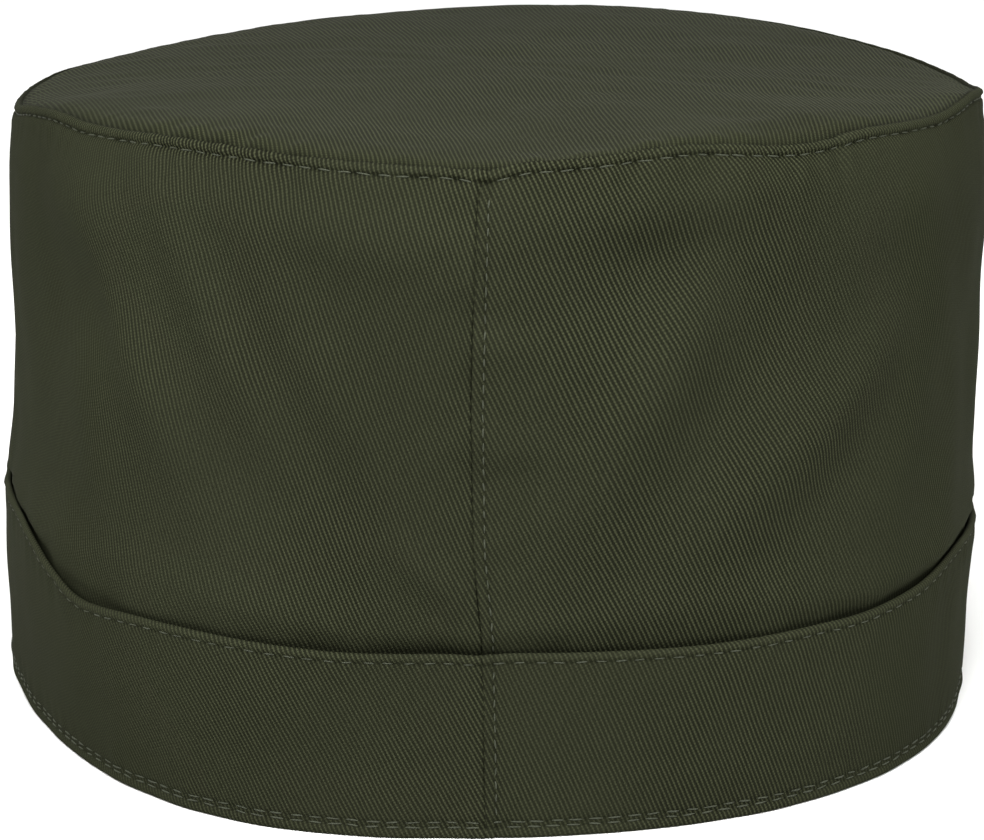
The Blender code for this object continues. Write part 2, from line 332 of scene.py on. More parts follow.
@dataclass(frozen=True)
class TwillFinish:
    """Steep cotton and polyester twill, piece-dyed olive drab, matt.

    The warp floats stand up as fine slanted ridges, lighter where they are rubbed, with the
    picks showing as dots in the dark valleys between them. The valleys' colour is partly the
    yarn's own darker tone and partly painted shade of the weave's hollows. Where the nap is
    up, the ridges fade into one plain shade.
    """

    name: str
    ridge: str = "#3d402e"
    # partly the yarn's own darker tone, partly painted shade of the weave's hollows
    valley: str = "#15160f"
    plain: str = "#26281d"
    shine: float = 0.01
    roughness: float = 0.88
    ridge_pitch: float = 0.715 * MM
    pick_pitch: float = 0.46 * MM
    ridge_angle: float = 68.5
    wobble: float = 0.10 * MM
    relief: float = 0.11 * MM
    sway_size: float = 9 * MM
    slub_size: float = 0.35 * MM
    pick_sway_size: float = 6 * MM
    patch_size: float = 20 * MM
    blotch_size: float = 28 * MM
    fibre_size: float = 0.22 * MM
    bead_depth: float = 0.42
    least_clear: float = 0.62
    # How far the groove mark darkens the colour: painted shade.
    painted_groove_shade: float = -0.55
    wear_light: float = 0.30
    blotch_light: float = 0.28
    fibre_light: float = 0.50

    def material(self) -> bpy.types.Material:
        """Make the material."""
        material, tree, shader = new_material(self.name)
        place = add_node(tree, "ShaderNodeUVMap", {"uv_map": Chart.PLACE.value}).outputs[0]

        def math_node(operation: str, *values: object, clamp: bool = False) -> bpy.types.NodeSocket:
            """One sum of sockets and numbers."""
            settings = {"operation": operation, "use_clamp": clamp}
            return add_node(tree, "ShaderNodeMath", settings, dict(enumerate(values))).outputs[0]

        def noise(size: float, detail: float, long_x: float = 1.0,
                  long_y: float = 1.0) -> bpy.types.NodeSocket:
            """Soft noise whose blotches are about size metres, longer along the cloth's own axes.

            Args:
                size: how wide a blotch is, in metres.
                detail: how many finer layers it has.
                long_x: how many times longer it is along the cloth's first axis.
                long_y: the same along the second axis.

            Returns:
                The noise, from 0 to 1.
            """
            stretch = {0: place, 1: (1 / long_x, 1 / long_y, 1.0)}
            scaled = add_node(tree, "ShaderNodeVectorMath", {"operation": "MULTIPLY"}, stretch)
            links = {"Vector": scaled.outputs[0], "Scale": 0.6 / size, "Detail": detail}
            return add_node(tree, "ShaderNodeTexNoise", {"noise_dimensions": "2D"}, links).outputs[0]

        def wave(phase: bpy.types.NodeSocket) -> bpy.types.NodeSocket:
            """A cosine between 0 and 1, once for each whole number of the phase."""
            swing = math_node("COSINE", math_node("MULTIPLY", phase, 2 * math.pi))
            return math_node("MULTIPLY_ADD", swing, 0.5, 0.5)

        def mark(chart: Chart) -> bpy.types.NodeSocket:
            """One of the cloth's own marks."""
            return add_node(tree, "ShaderNodeAttribute", {"attribute_name": chart.value}).outputs["Fac"]

        def mix(factor: object, low: object, high: object) -> bpy.types.NodeSocket:
            """A colour between two colours."""
            links = {0: factor, 6: low, 7: high}
            return add_node(tree, "ShaderNodeMix", {"data_type": "RGBA"}, links).outputs[2]

        angle = math.radians(self.ridge_angle)
        parts = add_node(tree, "ShaderNodeSeparateXYZ", links={0: place})
        along = math_node("MULTIPLY", parts.outputs[0], math.sin(angle) / self.ridge_pitch)
        up = math_node("MULTIPLY", parts.outputs[1], -math.cos(angle) / self.ridge_pitch)
        sway = math_node("SUBTRACT", noise(self.sway_size, 2.0), 0.5)
        sway = math_node("MULTIPLY", sway, self.wobble / self.ridge_pitch * 4)
        phase = math_node("ADD", math_node("ADD", along, up), sway)
        slub = noise(self.slub_size, 1.0, long_y=6.0)
        ridge = math_node("POWER", wave(phase), math_node("MULTIPLY_ADD", slub, 1.6, 0.75))

        pick_sway = math_node("MULTIPLY", noise(self.pick_sway_size, 1.0), 1.6)
        pick = math_node("ADD", math_node("MULTIPLY", parts.outputs[1], 1 / self.pick_pitch), pick_sway)
        dot = wave(math_node("ADD", pick, math_node("MULTIPLY", phase, 0.5)))
        valley = math_node("SUBTRACT", 1.0, ridge)
        beaded = math_node("MULTIPLY", dot, math_node("MULTIPLY_ADD", valley, -0.20, self.bead_depth))
        height = math_node("SUBTRACT", ridge, beaded, clamp=True)

        patches = {0: noise(self.patch_size, 2.0, long_y=1.5), 1: 0.30, 2: 0.62, 3: self.least_clear, 4: 1.0}
        clear = add_node(tree, "ShaderNodeMapRange", {}, patches).outputs[0]
        clear = math_node("MULTIPLY", clear, math_node("SUBTRACT", 1.0, mark(Chart.NAP)))
        fine = noise(self.fibre_size, 2.0)
        woven = mix(height, linear(self.valley), linear(self.ridge))
        faded = mix(clear, linear(self.plain), woven)
        blotch = math_node("SUBTRACT", noise(self.blotch_size, 3.0), 0.5)
        value = math_node("MULTIPLY_ADD", blotch, self.blotch_light, 1.0)
        # Colour multipliers: fibre tone, painted shade from the groove mark, and lighter rubbed wear.
        shades = ((fine, self.fibre_light, 1.0 - self.fibre_light / 2),
                  (mark(Chart.GROOVE), self.painted_groove_shade, 1.0),
                  (mark(Chart.WEAR), self.wear_light, 1.0))
        for source, much, base in shades:
            value = math_node("MULTIPLY", value, math_node("MULTIPLY_ADD", source, much, base))
        tint = add_node(tree, "ShaderNodeHueSaturation", {}, {"Value": value, "Color": faded}).outputs[0]
        fibre = math_node("MULTIPLY_ADD", fine, 0.35, math_node("MULTIPLY", height, clear))
        bump_links = {"Strength": 1.0, "Distance": self.relief, "Height": fibre}
        relief = add_node(tree, "ShaderNodeBump", {}, bump_links)
        tree.links.new(tint, shader.inputs["Base Color"])
        tree.links.new(math_node("MULTIPLY_ADD", height, -0.08, self.roughness), shader.inputs["Roughness"])
        tree.links.new(relief.outputs[0], shader.inputs["Normal"])
        shader.inputs["Metallic"].default_value = 0.0
        shader.inputs["IOR"].default_value = 1.45
        shader.inputs["Specular IOR Level"].default_value = self.shine
        return material


@dataclass(frozen=True)
class ThreadFinish:
    """Spun polyester sewing thread, a shade paler than the twill, with its twist."""

    name: str
    colour: str = "#3f4334"
    dark: str = "#24271c"
    twist: float = 0.35 * MM
    relief: float = 0.05 * MM
    roughness: float = 0.72
    shine: float = 0.3

    def material(self) -> bpy.types.Material:
        """Make the material."""
        material, tree, shader = new_material(self.name)
        place = add_node(tree, "ShaderNodeTexCoord").outputs["Object"]
        links = {"Vector": place, "Scale": 1 / self.twist, "Detail": 2.0}
        fuzz = add_node(tree, "ShaderNodeTexNoise", {}, links).outputs[0]
        colours = {0: fuzz, 6: linear(self.dark), 7: linear(self.colour)}
        tint = add_node(tree, "ShaderNodeMix", {"data_type": "RGBA"}, colours).outputs[2]
        bump_links = {"Strength": 0.6, "Distance": self.relief, "Height": fuzz}
        relief = add_node(tree, "ShaderNodeBump", {}, bump_links)
        tree.links.new(tint, shader.inputs["Base Color"])
        tree.links.new(relief.outputs[0], shader.inputs["Normal"])
        shader.inputs["Roughness"].default_value = self.roughness
        shader.inputs["Specular IOR Level"].default_value = self.shine
        return material


@dataclass(frozen=True)
class FloorFinish:
    """Smooth matt paper sweep, almost white."""

    name: str = "matt_white_paper"
    colour: str = "#f4f4f2"
    roughness: float = 0.9
    shine: float = 0.2

    def material(self) -> bpy.types.Material:
        """Make the material."""
        material, _, shader = new_material(self.name)
        shader.inputs["Base Color"].default_value = linear(self.colour)
        shader.inputs["Roughness"].default_value = self.roughness
        shader.inputs["Specular IOR Level"].default_value = self.shine
        return material


@dataclass(frozen=True)
class Marks:
    """Painted shade in grooves, rubbed wear and fluffiness of each point of a cloth piece, from 0 to 1.

    Where the cloth is fluffy, its ridges are blurred.
    """

    # painted shade in grooves, seams and tucks
    groove: Array
    wear: Array
    nap: Array


def clear_selection() -> None:
    """Deselect everything, so that an operator acts on the new piece alone."""
    bpy.ops.object.select_all(action="DESELECT")


def cloth_grid(name: str, points: Array, chart: Array, marks: Marks) -> bpy.types.Object:
    """Lay a flat grid of cloth onto its places.

    Args:
        name: the piece's name.
        points: places, rows going up and columns going to the wearer's left.
        chart: the same points on the flat cloth, in metres.
        marks: painted groove shade, wear and nap at the same points.

    Returns:
        The sheet, without thickness.
    """
    rows, columns = points.shape[:2]
    clear_selection()
    bpy.ops.mesh.primitive_grid_add(x_subdivisions=columns - 1, y_subdivisions=rows - 1,
                                    size=1.0, calc_uvs=False)
    sheet = bpy.context.object
    sheet.name = sheet.data.name = name
    mesh = sheet.data
    order = np.s_[:, ::-1]
    mesh.vertices.foreach_set("co", points[order].astype(np.float32).ravel())
    layer = mesh.uv_layers.new(name=Chart.PLACE.value)
    corners = np.empty(len(mesh.loops), dtype=np.int32)
    mesh.loops.foreach_get("vertex_index", corners)
    flat = chart[order].reshape(-1, 2)
    layer.uv.foreach_set("vector", flat[corners].astype(np.float32).ravel())
    for mark, values in ((Chart.GROOVE, marks.groove), (Chart.WEAR, marks.wear), (Chart.NAP, marks.nap)):
        attribute = mesh.attributes.new(mark.value, "FLOAT", "POINT")
        attribute.data.foreach_set("value", np.clip(values, 0, 1)[order].astype(np.float32).ravel())
    mesh.update()
    return sheet


def select_alone(piece: bpy.types.Object) -> None:
    """Make a piece the only one that an operator acts on.

    Args:
        piece: the piece.
    """
    clear_selection()
    piece.select_set(True)
    bpy.context.view_layer.objects.active = piece


def close_doubles(piece: bpy.types.Object, reach: float) -> None:
    """Merge points of a piece that lie together, in edit mode.

    Args:
        piece: the piece.
        reach: how near two points are merged, in metres.
    """
    select_alone(piece)
    bpy.ops.object.mode_set(mode="EDIT")
    bpy.ops.mesh.select_all(action="SELECT")
    bpy.ops.mesh.remove_doubles(threshold=reach)
    bpy.ops.object.mode_set(mode="OBJECT")


def thicken(piece: bpy.types.Object, thickness: float) -> None:
    """Give a sheet its thickness, inwards from the face it was laid on.

    Args:
        piece: the sheet.
        thickness: how thick it becomes, in metres.
    """
    select_alone(piece)
    wall = piece.modifiers.new("cloth thickness", "SOLIDIFY")
    wall.thickness = thickness
    wall.offset = -1.0
    wall.use_rim = True
    bpy.ops.object.modifier_apply(modifier=wall.name)
    bpy.ops.object.shade_smooth()


@dataclass(frozen=True)
class Fold:
    """A soft fold or dent of the wall.

    across: millimetres from the back seam, towards the wearer's left. height: millimetres
    above the floor. half_length, half_width: millimetres. lean: degrees that the long way
    leans from upright, top towards the wearer's left. stand_out: millimetres, + is outwards.
    """

    name: str
    across: float
    height: float
    half_length: float
    half_width: float
    lean: float
    stand_out: float


SIDE_FOLDS: tuple[Fold, ...] = (
    Fold("right flank", -138, 68, 48, 60, 0, -1.1),
    Fold("belly", -4, 80, 25, 62, 0, 1.6),
    Fold("left shoulder", 77, 98, 17, 8, 90, 2.4),
    Fold("left dent", 76, 79, 16, 9, 90, -1.4),
    Fold("left middle shoulder", 44, 102, 22, 4.5, 86, 0.9),
    Fold("top shoulder", 17, 97.5, 20, 6, 84, 2.0),
    Fold("right shoulder", -34, 102.5, 34, 4.5, 94, 1.4),
    Fold("far right shoulder", -82, 99, 20, 7, 96, 1.4),
    Fold("right dent", -28, 93, 13, 6.5, 102, -2.2),
    Fold("right drag, inner", -28, 76, 21, 6.5, -26, 2.6),
    Fold("right hollow", -43, 73, 24, 6.5, -36, -1.6),
    Fold("right drag, outer", -58, 66, 22, 6.5, -52, 2.8),
    Fold("left drag, outer", 62, 74, 20, 5.5, 38, 1.7),
    Fold("left drag, middle", 45, 83, 26, 5, 33, 1.8),
    Fold("left drag, inner", 26, 77, 25, 5, 30, 1.6),
    Fold("seam pucker, top", -1, 90, 7, 3.0, 80, 0.9),
    Fold("seam pucker, upper", -3, 81, 6, 3.2, 96, 1.4),
    Fold("seam pucker, middle", -4, 66, 6, 3.4, 78, 1.5),
    Fold("seam pucker, lower", 7, 44, 6.5, 2.8, 48, 1.5),
    Fold("seam pucker, foot", -7, 35, 6, 2.8, 70, 0.9),
)
EDGE_LIFTS: tuple[tuple[float, float], ...] = (
    (-165, 0.6), (-150, 0.1), (-130, -0.4), (-105, 0.2), (-90, 0.8), (-76, 3.0), (-67, 3.6),
    (-61, 2.4), (-54, 0.95), (-47, 0.6), (-39, 0.5), (-34, -0.6), (-29, -0.7), (-24, 0.3),
    (-19, 1.5), (-14, 1.2), (-9, 0.6), (-4, 0.4), (0, -0.2), (6, -0.2), (14, 0.1), (24, 0.3),
    (32, 0.15), (40, -0.4), (47, -0.4), (52, 0.4), (57, 0.8), (66, 0.9), (75, 0.3), (85, 0.4),
    (100, 1.1), (112, 1.7), (125, 0.8), (145, -0.4), (165, -0.7), (180, 0.1))
BAND_LIFTS: tuple[tuple[float, float], ...] = (
    (-150, 0.0), (-100, -3.0), (-84, -4.0), (-74, -2.0), (-66, -0.4), (-57, 1.1), (-52, 0.9),
    (-47, 0.2), (-36, -0.1), (-30, 0.3), (-20, 0.0), (0, 0.3), (12, -0.2), (27, 0.6), (34, 0.0),
    (38, -1.1), (42, -1.8), (46, -0.8), (50, 0.0), (54, 0.8), (60, 1.3), (67, 1.0), (74, 0.0),
    (84, -2.0), (100, -2.0), (150, 0.0))


def lift_at(table: tuple[tuple[float, float], ...], turn: Array) -> Array:
    """How much an edge is lifted, in metres, from a table of degrees and millimetres.

    Args:
        table: degrees round the cap, each with its lift.
        turn: angles round the cap, in radians.

    Returns:
        The lift at each angle.
    """
    degrees, lifts = zip(*table)
    near = [np.interp(np.degrees(turn) + step, degrees, lifts, period=360) for step in (-2, -1, 0, 1, 2)]
    return np.mean(near, axis=0) * MM


def fold_relief(folds: tuple[Fold, ...], along: Array, height: Array) -> Array:
    """How far some folds stand out at some places of a wall, in metres.

    Args:
        folds: the folds.
        along: distances from the back seam, in metres.
        height: heights of the same places.

    Returns:
        The distance outwards at each place.
    """
    total = np.zeros(along.shape)
    for fold in folds:
        side, up = along / MM - fold.across, height / MM - fold.height
        lean = math.radians(fold.lean)
        far = (up * math.cos(lean) + side * math.sin(lean)) / fold.half_length
        wide = (side * math.cos(lean) - up * math.sin(lean)) / fold.half_width
        total += fold.stand_out * np.exp(-(far**2 + wide**2))
    return total * MM


@dataclass
class BackSeam:
    """The seam that closes a strip at the back: its right end lies over its left end.

    path: heights and sideways offsets of the seam line, in millimetres. near: distances of
    the columns beside the seam, in millimetres, the stitches' own column among them.
    """

    lap: float = 1.6 * MM
    lap_rise: float = 0.10 * MM
    under_drop: float = 0.70 * MM
    edge_roll: float = 0.30 * MM
    stitch_from_edge: float = 1.85
    lap_columns: int = 4
    path: tuple[tuple[float, float], ...] = (
        (0, 0.3), (15, 0.5), (34, 0.9), (48, 2.2), (70, 2.5), (90, 2.0), (109, 1.3))
    near: tuple[float, ...] = (
        0.0, 0.10, 0.25, 0.45, 0.80, 1.15, 1.5, 1.85, 2.2, 2.55, 3.0, 3.6, 4.2, 4.9, 5.6, 6.4, 7.2)
    path_fade: float = 26 * MM

    def columns(self, length: float, spacing: float) -> Array:
        """Places of a strip's columns along the cap, from the end under the lap to the lap's edge.

        Args:
            length: distance once round.
            spacing: usual distance between columns.

        Returns:
            Distances from the seam line, in metres.
        """
        near = np.array(self.near) * MM
        under = -np.arange(self.lap_columns, 0, -1) * self.lap / self.lap_columns
        first, last = near[-1], length - near[-1]
        count = int((last - first) / spacing)
        middle = np.linspace(first, last, count + 1)[1:-1]
        return np.concatenate([under, near, middle, length - near[::-1]])

    def stitch_column(self, along: Array) -> int:
        """Which of a strip's columns the seam's stitches follow."""
        return len(along) - 1 - self.near.index(self.stitch_from_edge)

    def shift(self, along: Array, height: Array, length: float) -> Array:
        """How far a place near the seam moves sideways, because the seam line wanders.

        Args:
            along: distances from the seam line.
            height: heights of the same places.
            length: distance once round.

        Returns:
            Sideways distances in metres.
        """
        heights, offsets = zip(*self.path)
        wander = np.interp(height / MM, heights, offsets) * MM
        gap = np.minimum(np.abs(along), np.abs(length - along))
        return wander * bump(gap, self.path_fade)

    def rise(self, along: Array, length: float) -> Array:
        """How far a strip's two ends stand in or out where they lie over each other.

        Args:
            along: distances from the seam line.
            length: distance once round.

        Returns:
            Distances outwards, in metres.
        """
        from_edge = length - along
        over = self.lap_rise * (1 - ease((from_edge - 1.35 * MM) / (0.8 * MM)))
        over -= 0.20 * MM * bump(from_edge - self.stitch_from_edge * MM, 0.32 * MM)
        share = np.clip((self.edge_roll - from_edge) / self.edge_roll, 0.0, 1.0)
        over -= self.edge_roll * (1 - np.sqrt(1 - np.minimum(share, 0.999) ** 2))
        under = -self.under_drop * (1 - ease((along + 0.6 * MM) / (0.9 * MM)))
        return np.where(along > length / 2, over, under)

    def groove(self, along: Array, length: float) -> Array:
        """How much painted shade the seam line and its stitch line take, from 0 to 1."""
        stitch = 0.35 * bump(length - along - self.stitch_from_edge * MM, 0.35 * MM)
        return stitch + 0.35 * bump(np.minimum(np.abs(along), np.abs(length - along)), 0.25 * MM)


@dataclass(frozen=True)
class GrainLine:
    """The twill's slant at the two ends of a strip, in degrees from its length."""

    left: float
    right: float

    def chart(self, along: Array, up: Array, ridge_angle: float) -> Array:
        """Places of a strip's points on the flat cloth, as its slightly curved pattern was cut.

        Args:
            along: distance of each column along the strip.
            up: distance of each point across the strip, rows by columns.
            ridge_angle: slant of the ridges on the flat cloth.

        Returns:
            Flat places in metres, rows by columns by two.
        """
        share = (along - along[0]) / (along[-1] - along[0])
        tilt = np.radians(ridge_angle - (self.left + (self.right - self.left) * share))
        steps = np.diff(along, prepend=along[0])
        x, y = np.cumsum(np.cos(tilt) * steps), np.cumsum(np.sin(tilt) * steps)
        return np.stack([x - up * np.sin(tilt), y + up * np.cos(tilt)], axis=2)


@dataclass
class Stitching:
    """Rows of lockstitch topstitching, laid in a groove."""

    pitch: float = 3.25 * MM
    length: float = 2.55 * MM
    thickness: float = 0.30 * MM
    lift: float = 0.03 * MM
    arch: float = 0.14 * MM
    sink: float = 0.10 * MM
    seed: int = 1

    def template(self) -> tuple[Array, list[tuple[int, ...]]]:
        """One stitch, a metre long along x, modelled once.

        Returns:
            Its points, and the points of each face.
        """
        clear_selection()
        lying = (0.0, math.pi / 2, 0.0)
        bpy.ops.mesh.primitive_uv_sphere_add(segments=6, ring_count=5, radius=0.5, rotation=lying)
        stitch = bpy.context.object
        bpy.ops.object.transform_apply(location=True, rotation=True, scale=True)
        points = np.array([v.co for v in stitch.data.vertices])
        faces = [tuple(p.vertices) for p in stitch.data.polygons]
        bpy.data.objects.remove(stitch)
        points[:, 0] = np.sign(points[:, 0]) * 0.5 * (np.abs(points[:, 0]) * 2) ** 0.8
        return points, faces

    def sew(self, name: str, rows: list[tuple[Array, Array]]) -> bpy.types.Object:
        """Make the stitches of one seam as one piece.

        Args:
            name: the piece's name.
            rows: for each row of stitching, its points and outward directions, in order.

        Returns:
            The stitches.
        """
        shape, faces = self.template()
        x = shape[:, 0]
        draw = np.random.default_rng(self.seed)
        points, polygons = [], []
        for line, normals in rows:
            run = distances(line)
            for k in range(int(run[-1] / self.pitch)):
                middle = (k + 0.5) * self.pitch + draw.uniform(-0.08, 0.08) * self.pitch
                half = self.length * draw.uniform(0.42, 0.52)
                start, centre, end = (value_at(middle + step, run, line) for step in (-half, 0, half))
                outward = value_at(middle, run, normals)
                forward = end - start
                long = np.linalg.norm(forward)
                if long < 0.5 * self.length:
                    continue
                forward /= long
                outward -= forward * (outward @ forward)
                outward /= np.linalg.norm(outward)
                side = np.cross(outward, forward)
                thick = self.thickness * draw.uniform(0.85, 1.15)
                lean = draw.uniform(-0.12, 0.12) * MM
                arch = self.lift + self.arch * (1 - (2 * x) ** 2) - self.sink
                place = (centre + np.outer(x * long, forward)
                         + np.outer(shape[:, 1] * thick + lean * 2 * x, side)
                         + np.outer(shape[:, 2] * thick + arch, outward))
                base = len(points) * len(shape)
                points.append(place)
                polygons.extend(tuple(base + v for v in face) for face in faces)
        mesh = bpy.data.meshes.new(name)
        mesh.from_pydata(np.concatenate(points).tolist(), [], polygons)
        stitches = bpy.data.objects.new(name, mesh)
        bpy.context.scene.collection.objects.link(stitches)
        mesh.shade_smooth()
        return stitches


def back_stitching(seed: int) -> Stitching:
    """The short stitches up the back seam."""
    return Stitching(pitch=2.3 * MM, length=1.7 * MM, seed=seed)


# Columns of a strip that lie clear of its lap.
CLEAR_OF_LAP = slice(6, -1)


def finish_piece(piece: bpy.types.Object, material: bpy.types.Material, slot: str, *nodes: str) -> None:
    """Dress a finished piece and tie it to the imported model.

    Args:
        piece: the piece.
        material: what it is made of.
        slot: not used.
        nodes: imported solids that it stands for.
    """
    piece.data.materials.clear()
    piece.data.materials.append(material)
    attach(piece, "root")
    if nodes:
        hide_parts(*nodes)
    log.info("%s: %d points, %s", piece.name, len(piece.data.vertices), material.name)


@dataclass
class CrownSide:
    """The wall of the crown: one strip of twill, closed at the back by a lapped seam."""

    wall: PackedWall
    band_wall: PackedWall
    seam: BackSeam = field(default_factory=BackSeam)
    cloth: float = 0.8 * MM
    column_spacing: float = 0.92 * MM
    middle_spacing: float = 2.1 * MM
    above_band: tuple[float, ...] = (-6, -3, -1.4, -0.4, 0.3, 1.0, 1.8, 2.7, 3.8, 5.0, 6.5, 8.2, 10, 12, 14)
    below_edge: tuple[float, ...] = (
        9, 7.8, 6.8, 5.9, 5.1, 4.4, 3.8, 3.25, 2.8, 2.4, 2.1, 1.85, 1.6, 1.35, 1.0)
    edge_roll: tuple[tuple[float, float], ...] = (
        (0.65, 0.05), (0.32, 0.24), (0.08, 0.6), (0.0, 1.0), (0.22, 1.4), (0.75, 1.75))
    stitch_drop: float = 1.6
    flat_height: float = 0.112
    grain: GrainLine = GrainLine(68.0, 65.0)
    packed_ease: float = 14.0 * MM
    band_gap: float = 1.5 * MM
    edge_lean: float = 1.1 * MM
    lean_depth: float = 16.0 * MM

    def __post_init__(self) -> None:
        """Lay out the strip's columns."""
        self.ruler = Ruler(self.wall, 0.6)
        self.along = self.seam.columns(self.ruler.length, self.column_spacing)

    def edge_height(self, turn: Array) -> Array:
        """Height of the crown's edge."""
        return self.wall.edge(turn, True) + lift_at(EDGE_LIFTS, turn)

    def rows(self, turn: Array) -> tuple[Array, Array]:
        """Heights of the strip's rows, and how far each row rolls in.

        Args:
            turn: the columns' turns.

        Returns:
            Heights and insets, rows by columns.
        """
        low, high = self.wall.edge(turn, False) + 1.2 * MM, self.edge_height(turn)
        free = self.band_wall.edge(turn, True) + lift_at(BAND_LIFTS, turn)
        heights = [low, (low + free) / 2 - 4 * MM]
        heights += [free + d * MM for d in self.above_band]
        bottom, top = heights[-1], high - self.below_edge[0] * MM
        count = int((top - bottom).max() / self.middle_spacing)
        heights += [bottom + (top - bottom) * k / count for k in range(1, count)]
        heights += [high - d * MM for d in self.below_edge]
        insets = [np.zeros(len(turn))] * len(heights)
        heights += [high - drop * MM for drop, _ in self.edge_roll]
        insets += [np.full(len(turn), inset * MM) for _, inset in self.edge_roll]
        return np.array(heights), np.array(insets)

    def above_band_relief(self, turn: Array, heights: Array, free: Array) -> Array:
        """How far the cloth comes out to lie against the band's fold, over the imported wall.

        Args:
            turn: the columns' turns.
            heights: heights of the points, rows by columns.
            free: height of the band's free edge at each column.

        Returns:
            Distances outwards, rows by columns.
        """
        band_face = self.band_wall.distance(turn, free - 1.0 * MM)
        gap = band_face - self.wall.distance(turn, free)
        above = heights - free
        packed = 1 - ease(above / self.packed_ease)
        angle = np.degrees(turn + math.pi) % 360 - 180
        pocket = bump(angle - 34, 16) + 0.8 * bump(angle + 20, 12)
        side = ease((np.abs(angle) - 48) / 18)
        reach = (3.6 * MM + 5.5 * MM * pocket) * (1 - side) + 2.2 * MM * side
        stand = self.band_gap * (1 - ease(above / reach))
        over = gap * packed * (1 - 0.30 * side) - stand
        behind = (gap - self.band_gap) * ease((above + 12 * MM) / (10 * MM))
        return np.where(above > 0, over, behind)

    def build(self, material: bpy.types.Material, thread: bpy.types.Material) -> None:
        """Make the wall and its stitches.

        Args:
            material: what the wall is made of.
            thread: what the stitches are made of.
        """
        turn_flat = self.ruler.turn(self.along)
        heights, insets = self.rows(turn_flat)
        along = np.broadcast_to(self.along, heights.shape)
        length = self.ruler.length
        turn = self.ruler.turn(along + self.seam.shift(along, heights, length))
        high = self.edge_height(turn_flat)
        read = np.minimum(heights, high - self.below_edge[-1] * MM)
        reach = self.wall.distance(turn, read - (high - self.wall.edge(turn, True)) * ease(read / high))
        drop = high - heights
        reach = reach - insets - self.edge_lean * np.clip(1 - drop / self.lean_depth, 0, 1) ** 2
        base = np.stack([reach * np.sin(turn), reach * np.cos(turn), heights], axis=2)
        normals = face_normals(base)
        free = self.band_wall.edge(turn_flat, True)
        signed = np.where(along > length / 2, along - length, along)

        near = 0.3 + 0.7 * towards_back(np.abs(signed))
        fine = ripples(along, 0 * along, 3.4 * MM, 12)
        pucker = near * (ripples(along, 0 * along, 7.0 * MM, 11) + 0.6 * fine)
        on_wall = insets <= 0
        relief = -0.45 * MM * bump(drop - self.stitch_drop * MM, 0.36 * MM) * on_wall
        relief += 0.10 * MM * bump(drop - 3.2 * MM, 0.9 * MM)
        relief += 0.22 * MM * pucker * bump(drop - 3.6 * MM, 3.0 * MM)
        relief += 0.12 * MM * near * ripples(along, 0 * along, 4.2 * MM, 13) * bump(drop - 0.8 * MM, 0.8 * MM)
        beads = np.cos(along * (2 * math.pi / Stitching.pitch))
        relief += 0.13 * MM * near * beads * bump(drop - 0.85 * MM, 0.6 * MM)
        relief += self.seam.rise(along, length) * ease((drop - 0.4 * MM) / (2.2 * MM))
        near_seam = bump(signed, 9 * MM)
        relief += 0.14 * MM * ripples(along, heights, 8.0 * MM, 14) * near_seam
        relief += 0.13 * MM * ripples(along, heights, 19 * MM, 15, 1.4) * ease((drop - 3 * MM) / (8 * MM))
        relief += 0.10 * MM * ripples(along, 0 * along, 9 * MM, 16) * bump(heights - free, 5 * MM)
        relief += self.above_band_relief(turn_flat, heights, free)
        folds = fold_relief(SIDE_FOLDS, signed, heights) * ease((heights - free - 1 * MM) / (8 * MM))
        relief += folds * ease(drop / (4.5 * MM))
        points = base + normals * relief[..., None]

        # Painted shade: the broken stitch groove, the back seam, a painted shadow just above the band's free
        # edge, and the edge roll's inner rows.
        painted_groove_strength = np.clip(0.45 + 0.6 * ripples(along, 0 * along, 5.0 * MM, 17), 0.1, 1.0)
        groove = painted_groove_strength * bump(drop - self.stitch_drop * MM, 0.30 * MM) * on_wall
        groove = groove + self.seam.groove(along, length) * (drop > 1.0 * MM)
        groove = groove + 0.5 * bump(heights - free, 0.9 * MM) + 0.9 * (insets > 0.9 * MM)
        wear = 0.35 * bump(drop - 0.7 * MM, 0.8 * MM)
        chart = self.grain.chart(self.along, heights, TwillFinish.ridge_angle)
        nap = 0.13 + 0.30 * ease(np.where(signed > 0, signed - 18 * MM, -signed - 40 * MM) / (30 * MM))
        nap = nap * ease((drop - 1.5 * MM) / (2 * MM))
        side = cloth_grid("crown_side_twill", points, chart, Marks(groove, wear, nap))
        thicken(side, self.cloth)
        finish_piece(side, material, "crown_twill", "crown_side")

        outward = face_normals(points)
        stitch_row = len(heights) - len(self.edge_roll) - len(self.below_edge)
        stitch_row += self.below_edge.index(self.stitch_drop)
        rows = [(points[stitch_row, CLEAR_OF_LAP], outward[stitch_row, CLEAR_OF_LAP])]
        crown = Stitching(seed=21).sew("crown_seam_stitches", rows)
        column = self.seam.stitch_column(self.along)
        span = slice(5, stitch_row - 1)
        up_seam = [(points[span, column], outward[span, column])]
        back = back_stitching(22).sew("back_seam_stitches", up_seam)
        for stitches in (crown, back):
            finish_piece(stitches, thread, "crown_twill")


